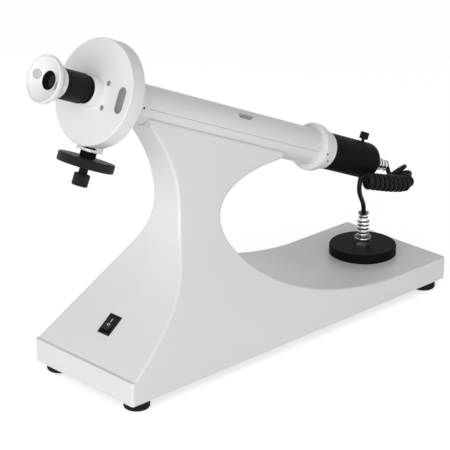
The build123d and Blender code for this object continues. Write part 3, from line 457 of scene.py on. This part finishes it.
def rocker_frame(centre, up_slope, normal):
    """Frame on a face of the rocker: first axis up the slope, third axis out of the face."""
    first = Vector(up_slope)
    third = Vector(normal)
    rows = Matrix(((*first, 0), (*third.cross(first), 0), (*third, 0), (0, 0, 0, 1)))
    placed = rows.transposed()
    placed.translation = Vector(centre) * MM
    return placed


switch_form = bmesh.new()
ring_corners = [switch_form.verts.new((radius, 0, height)) for radius, height in (
    (RING_INNER, -PRINT_HALF), (RING_OUTER, -PRINT_HALF), (RING_OUTER, PRINT_HALF), (RING_INNER, PRINT_HALF),
)]
ring_edges = [
    switch_form.edges.new((a, b)) for a, b in zip(ring_corners, ring_corners[1:] + ring_corners[:1])
]
bmesh.ops.spin(
    switch_form, geom=ring_corners + ring_edges, cent=(0, 0, 0), axis=(0, 0, 1), angle=2 * math.pi,
    steps=24, use_merge=True,
)
ring_frame = rocker_frame((-163.6, 2.5, 58.53), (0.929, 0, 0.371), (-0.371, 0, 0.929))
bmesh.ops.transform(switch_form, matrix=ring_frame, verts=switch_form.verts)
bar_frame = rocker_frame((-159.7, 2.5, 61.14), (0.79, 0, 0.613), (-0.613, 0, 0.79))
bar_size = Matrix.Diagonal((BAR_LENGTH, BAR_WIDTH, 2 * PRINT_HALF, 1))
bmesh.ops.create_cube(switch_form, size=1.0, matrix=bar_frame @ bar_size)
bmesh.ops.recalc_face_normals(switch_form, faces=switch_form.faces)
switch_marks = bpy.data.meshes.new("switch_marks")
switch_form.to_mesh(switch_marks)
switch_form.free()
linked(switch_marks, "switch_marks", rocker_white, "rocker")

# Round plate on the base for the lamp's socket: turned aluminium, anodised black.
# Very fine tool marks run round it, as on the tubes of the same finish.
anodised = grained(
    "black_anodised", (0.004, 0.004, 0.004), (0.009, 0.009, 0.009), 0.4, (2600.0, 60.0),
    relief=(0.12, 0.00015), roughness_range=(0.46, 0.6), turn=TILT, stretch=(1, 0.02, 0.02),
    Specular_IOR_Level=0.03,
)
finish_nodes(anodised, "socket_plate")

# Connectors of the curly lead: nickel-plated brass sockets with a nut under the plate,
# and screwed plugs with turned grooves, with painted shade at their bottoms.
nickel = grained(
    "nickel_plate", None, (0.66, 0.655, 0.64), 0.2, (1800.0, 160.0), metallic=1.0,
    relief=(0.05, 0.0001), roughness_range=(0.14, 0.3),
)
finish_nodes(nickel, "base_socket", "lamp_socket")
DOWN_TUBE_TURN = -(math.pi / 2 + TILT)


def banded(name, axis_turn, centre, pitch):
    """Nickel with turned grooves round an axis through its centre, with painted shade at their bottoms."""
    material, nodes, links, shader = principled(name, (0.7, 0.69, 0.68), 0.2, 1.0)
    axes = nodes.new("ShaderNodeSeparateXYZ")
    links.new(placed_pattern(nodes, links, turn=axis_turn, centre=centre), axes.inputs[0])
    lengthwise = worked_out(nodes, links, "MULTIPLY", axes.outputs["Z"], 2 * math.pi / pitch)
    groove = worked_out(nodes, links, "SINE", lengthwise)
    crest_and_groove_shade = nodes.new("ShaderNodeMapRange")
    crest_and_groove_shade.inputs["From Min"].default_value = -0.5
    crest_and_groove_shade.inputs["From Max"].default_value = 0.25
    links.new(groove, crest_and_groove_shade.inputs["Value"])
    # Painted shade: the tone falls from bright nickel to near black towards each groove's bottom.
    toned(nodes, links, crest_and_groove_shade.outputs["Result"], (0.07, 0.07, 0.07), (0.86, 0.85, 0.84), shader)
    embossed(nodes, links, crest_and_groove_shade.outputs["Result"], 0.6, 0.0003, shader)
    return material


finish_nodes(banded("base_plug_nickel", 0.0, on_base(384.8, 0, 0), pitch=0.0043), "base_plug")
finish_nodes(banded("lamp_plug_nickel", DOWN_TUBE_TURN, along(0), pitch=0.0036), "lamp_plug")

# Optical tube: a trough for the sample and a hinged lid, bent from sheet and painted as the stand is.
# Its turned collars are held by blackened set screws; hinge pin and lid tab are bright steel.
finish_nodes(ivory, "trough", "tube_lid", "front_collar", "rear_flange", "rear_ring")
finish_nodes(steel, "hinge_pin", "lid_tab")
dark_steel = grained(
    "blackened_steel", (0.02, 0.02, 0.022), (0.06, 0.06, 0.062), 0.4, (2500.0, 150.0), metallic=0.8,
)
finish_nodes(dark_steel, "collar_screws")

# Windows at the ends of the trough: clear glass discs behind black retaining rings.
# Beyond the far one lie the polarising plates, grey film cemented between discs of glass.
lens_glass = grained(
    "lens_glass", None, (0.93, 0.97, 0.95), 0.02, (300.0, 40.0),
    roughness_range=(0.01, 0.04), Transmission_Weight=1.0, IOR=1.5,
)
finish_nodes(lens_glass, "tube_windows")
finish_nodes(anodised, "retaining_rings")
film = grained(
    "polariser_film", (0.26, 0.29, 0.27), (0.34, 0.37, 0.35), 0.08, (500.0, 30.0),
    stretch=(1, 30, 1), Transmission_Weight=0.6,
)
finish_nodes(film, "polarising_plates")

# Lamp house: a black anodised barrel with the lamp's holder, an amber light source and a glass
# condenser lens inside.
finish_nodes(anodised, "lamp_house", "lamp_holder")
finish_nodes(lens_glass, "condenser_lens")
amber = grained(
    "amber_diode", (0.80, 0.46, 0.08), (0.90, 0.58, 0.14), 0.12, (900.0, 120.0), Transmission_Weight=0.35,
)
finish_nodes(amber, "lamp_diode")

# Thumb screw on top of the lamp house: steel with a knurled black head, which holds the lamp's holder.
# The knurl is two crossed families of fine grooves, rolled into the rim; all the grips share it.
UP_TURN = -TILT
GRIP_BLACK = (0.005, 0.005, 0.005)
knurl, knurl_in, knurl_out = group_with(
    "diamond_knurl",
    [("Vector", "Vector", None), ("Ridges", "Float", 100.0), ("Lead", "Float", 3000.0)],
    [("Relief", "Float"), ("Tips", "Float")],
)
parts = knurl.nodes.new("ShaderNodeSeparateXYZ")
knurl.links.new(knurl_in.outputs["Vector"], parts.inputs[0])
round_turn = worked_out(knurl.nodes, knurl.links, "ARCTAN2", parts.outputs["Y"], parts.outputs["X"])
round_turn = worked_out(knurl.nodes, knurl.links, "MULTIPLY", round_turn, knurl_in.outputs["Ridges"])
climb = worked_out(knurl.nodes, knurl.links, "MULTIPLY", parts.outputs["Z"], knurl_in.outputs["Lead"])
waves = []
for operation in ("ADD", "SUBTRACT"):
    phase = worked_out(knurl.nodes, knurl.links, operation, round_turn, climb)
    wave = worked_out(knurl.nodes, knurl.links, "SINE", phase)
    waves.append(worked_out(knurl.nodes, knurl.links, "ABSOLUTE", wave))
relief = worked_out(knurl.nodes, knurl.links, "MULTIPLY", waves[0], waves[1])
tips = worked_out(knurl.nodes, knurl.links, "POWER", relief, 5.0)
knurl.links.new(relief, knurl_out.inputs["Relief"])
knurl.links.new(tips, knurl_out.inputs["Tips"])


def knurled(name, axis_turn, centre, ridges, pitch, tip_wear_and_highlight, roughness):
    """Black finish of a knurled grip that turns on an axis through its centre, its tips lighter as wear and
    painted highlight.
    """
    material, nodes, links, shader = principled(name, GRIP_BLACK, roughness)
    pattern = nodes.new("ShaderNodeGroup")
    pattern.node_tree = knurl
    links.new(placed_pattern(nodes, links, turn=axis_turn, centre=centre), pattern.inputs["Vector"])
    pattern.inputs["Ridges"].default_value = ridges
    pattern.inputs["Lead"].default_value = math.pi / pitch
    shader.inputs["Specular IOR Level"].default_value = 0.1
    # Lighter knurl tips: partly wear, partly painted highlight.
    toned(nodes, links, pattern.outputs["Tips"], GRIP_BLACK, tip_wear_and_highlight, shader)
    embossed(nodes, links, pattern.outputs["Relief"], 0.9, 0.0005, shader)
    return material


thumb_grip = knurled(
    "thumb_knurl", UP_TURN, along(382.0), ridges=16, pitch=0.0013,
    tip_wear_and_highlight=(0.06, 0.06, 0.061), roughness=0.38,
)
finish_nodes(thumb_grip, "thumb_screw")

# Dial drum: painted cover, back plate and shaft housing, closed by three steel screws.
# A plain glass lies in each reading window.
finish_nodes(ivory, "dial_cover", "back_plate", "shaft_housing")
finish_nodes(steel, "cover_screws")
reading_glass = grained(
    "reading_glass", (0.40, 0.41, 0.40), (0.52, 0.53, 0.52), 0.05, (700.0, 80.0), Alpha=0.3,
)
finish_nodes(reading_glass, "reading_glasses")

# Dial and its two verniers: satin silvered brass, brushed one way.
# The dial turns with the analyser behind it; the verniers are screwed to the cover.
silvered = grained(
    "silvered_scale", (0.56, 0.56, 0.55), (0.68, 0.68, 0.67), 0.38, (1600.0, 50.0), metallic=0.6,
    relief=(0.1, 0.0001), turn=TILT, stretch=(0.1, 1, 1),
)
finish_nodes(silvered, "dial", "vernier_plates")

# Graduations: fine lines with numbers, engraved in the dial and in both verniers and filled black.
# The dial counts 0 to 170 twice, and a vernier has twenty divisions on nineteen degrees.
MARK_HEIGHT = 0.00005
MARK_WIDTH = 0.00013
NUMBER_SIZE = 0.0019
DIAL_FACE = 5.6
DIAL_TICK_OUTER = 36.1
DIAL_TICK_INNER = {"ten": 34.3, "five": 34.9, "one": 35.3}
DIAL_NUMBER_RADIUS = 32.6
VERNIER_DIVISIONS = 20
VERNIER_STEP = 0.95
VERNIER_TICK_INNER = 36.7
VERNIER_TICK_OUTER = {"ten": 38.7, "five": 38.2, "one": 37.7}
VERNIER_NUMBER_RADIUS = 39.8
engraving = grained("engraving_black", (0.006, 0.006, 0.006), (0.02, 0.02, 0.02), 0.5, (2000.0, 200.0))
face_frame = Matrix(((*-tube_side, 0), (*tube_up, 0), (*-tube_along, 0), (0, 0, 0, 1))).transposed()
face_frame.translation = along(DIAL_FACE)


def rank(count):
    """How long a line is, by its count along the scale."""
    return "ten" if count % 10 == 0 else "five" if count % 5 == 0 else "one"


def mark_place(radius, degrees):
    """Place of a mark on the dial's face, at a radius in millimetres."""
    turned = Matrix.Rotation(math.radians(degrees), 4, "Z")
    return face_frame @ turned @ Matrix.Translation((radius * MM, 0, 0))


def add_mark(form, inner, outer, degrees):
    """Straight graduation between two radii in millimetres."""
    size = Matrix.Diagonal(((outer - inner) * MM, MARK_WIDTH, MARK_HEIGHT, 1))
    bmesh.ops.create_cube(form, size=1.0, matrix=mark_place((inner + outer) / 2, degrees) @ size)


def add_number(form, number, radius, degrees, turned=0.0):
    """Number in flat raised figures, made a mesh and then put in its place."""
    words = bpy.data.curves.new("figures", "FONT")
    words.body = str(number)
    words.size = NUMBER_SIZE
    words.align_x = "CENTER"
    words.align_y = "CENTER"
    words.resolution_u = 2
    words.extrude = MARK_HEIGHT / 2
    holder = bpy.data.objects.new("figures", words)
    bpy.context.scene.collection.objects.link(holder)
    bpy.context.view_layer.update()
    figures = bpy.data.meshes.new_from_object(holder)
    bpy.data.objects.remove(holder)
    figures.transform(mark_place(radius, degrees) @ Matrix.Rotation(turned, 4, "Z"))
    form.from_mesh(figures)


def engraved(form, name, body):
    """Finished graduations of one scale, riding with it."""
    marks = bpy.data.meshes.new(name)
    form.to_mesh(marks)
    form.free()
    linked(marks, name, engraving, body)


dial_form = bmesh.new()
for degree in range(360):
    add_mark(dial_form, DIAL_TICK_INNER[rank(degree)], DIAL_TICK_OUTER, degree)
    if rank(degree) == "ten":
        add_number(dial_form, degree % 180, DIAL_NUMBER_RADIUS, degree)
engraved(dial_form, "dial_marks", "dial_wheel")

vernier_form = bmesh.new()
for middle, turned in ((0, 0.0), (180, math.pi)):
    for division in range(VERNIER_DIVISIONS + 1):
        degree = middle + (division - VERNIER_DIVISIONS // 2) * VERNIER_STEP
        add_mark(vernier_form, VERNIER_TICK_INNER, VERNIER_TICK_OUTER[rank(division)], degree)
        if rank(division) == "ten":
            add_number(vernier_form, division // 2, VERNIER_NUMBER_RADIUS, degree, turned)
engraved(vernier_form, "vernier_marks", "stand")

# Analyser and its drive: a film disc in a black cell, carried by a brass bevel ring gear
# that the steel pinion shaft turns in its black bush.
brass = grained(
    "cut_brass", (0.50, 0.34, 0.12), (0.70, 0.51, 0.22), 0.3, (1500.0, 90.0), metallic=1.0,
    roughness_range=(0.25, 0.4),
)
finish_nodes(brass, "dial_gear")
finish_nodes(anodised, "analyser_cell", "shaft_bush")
finish_nodes(film, "analyser")
finish_nodes(steel, "pinion_shaft")

# Handwheel and fine knob under the drum: turned aluminium, knurled and anodised black.
# The knurl's tips are lighter, partly from wear by hands and partly as painted highlight.
wheel_centre = along(15.2)
wheel_grip = knurled(
    "wheel_knurl", UP_TURN, wheel_centre, ridges=66, pitch=0.0016,
    tip_wear_and_highlight=(0.11, 0.11, 0.112), roughness=0.38,
)
finish_nodes(wheel_grip, "handwheel")
knob_grip = knurled(
    "knob_knurl", UP_TURN, wheel_centre, ridges=24, pitch=0.0014,
    tip_wear_and_highlight=(0.14, 0.14, 0.142), roughness=0.36,
)
finish_nodes(knob_grip, "fine_knob")

# Telescope: black anodised sleeve, draw tube and objective cell, with a glass objective.
# The eye lenses are coloured near black in place of the view into the tube: its blackened inside, with
# painted shade.
finish_nodes(anodised, "main_sleeve", "draw_tube", "objective_cell")
finish_nodes(lens_glass, "objective_lens")
# Near-black glass: the tube's blackened inside and painted shade seen through the lenses.
eye_glass_painted_dark = grained(
    "eye_glass_painted_dark", (0.006, 0.006, 0.008), (0.012, 0.012, 0.015), 0.08, (300.0, 60.0), Specular_IOR_Level=0.12,
)
finish_nodes(eye_glass_painted_dark, "eyepiece_lenses")

# Focus sleeve on the eyepiece: turned aluminium, anodised black, knurled in a broad band
# so that it can be turned with two fingers.
focus_grip = knurled(
    "focus_knurl", DOWN_TUBE_TURN, along(0), ridges=44, pitch=0.0013,
    tip_wear_and_highlight=(0.03, 0.03, 0.031), roughness=0.42,
)
finish_nodes(focus_grip, "focus_sleeve")

# Eye shield: a turned dish in the same ivory paint, with painted shade in its bore and in a thin ring round
# it.
# Two small reading lenses are cemented in it, and a blackened set screw holds it on the draw tube.
BORE_SHADE_RADIUS = 0.0086
shield_paint_and_bore_shade, nodes, links, shader = principled("shield_paint_and_bore_shade", (0.80, 0.80, 0.775), 0.34)
shield_grain = add_grain(nodes, links, placed_pattern(nodes, links), 420.0, 9.0)
shield_axes = nodes.new("ShaderNodeSeparateXYZ")
links.new(placed_pattern(nodes, links, turn=DOWN_TUBE_TURN, centre=along(0)), shield_axes.inputs[0])
squares = [
    worked_out(nodes, links, "MULTIPLY", shield_axes.outputs[axis], shield_axes.outputs[axis])
    for axis in ("X", "Y")
]
off_axis = worked_out(nodes, links, "SQRT", worked_out(nodes, links, "ADD", *squares))
# Painted shade: inside this radius the shield is near black, darkening the bore and a thin ring round it.
painted = worked_out(nodes, links, "GREATER_THAN", off_axis, BORE_SHADE_RADIUS)
toned(nodes, links, painted, (0.006, 0.006, 0.006), (0.80, 0.80, 0.78), shader)
embossed(nodes, links, shield_grain.outputs["Relief"], 0.22, 0.00035, shader)
finish_nodes(shield_paint_and_bore_shade, "eye_shield")
magnifier_glass = grained(
    "magnifier_glass", (0.42, 0.43, 0.42), (0.54, 0.55, 0.54), 0.16, (700.0, 80.0), Alpha=0.85,
)
finish_nodes(magnifier_glass, "magnifiers")
finish_nodes(dark_steel, "shield_screw")
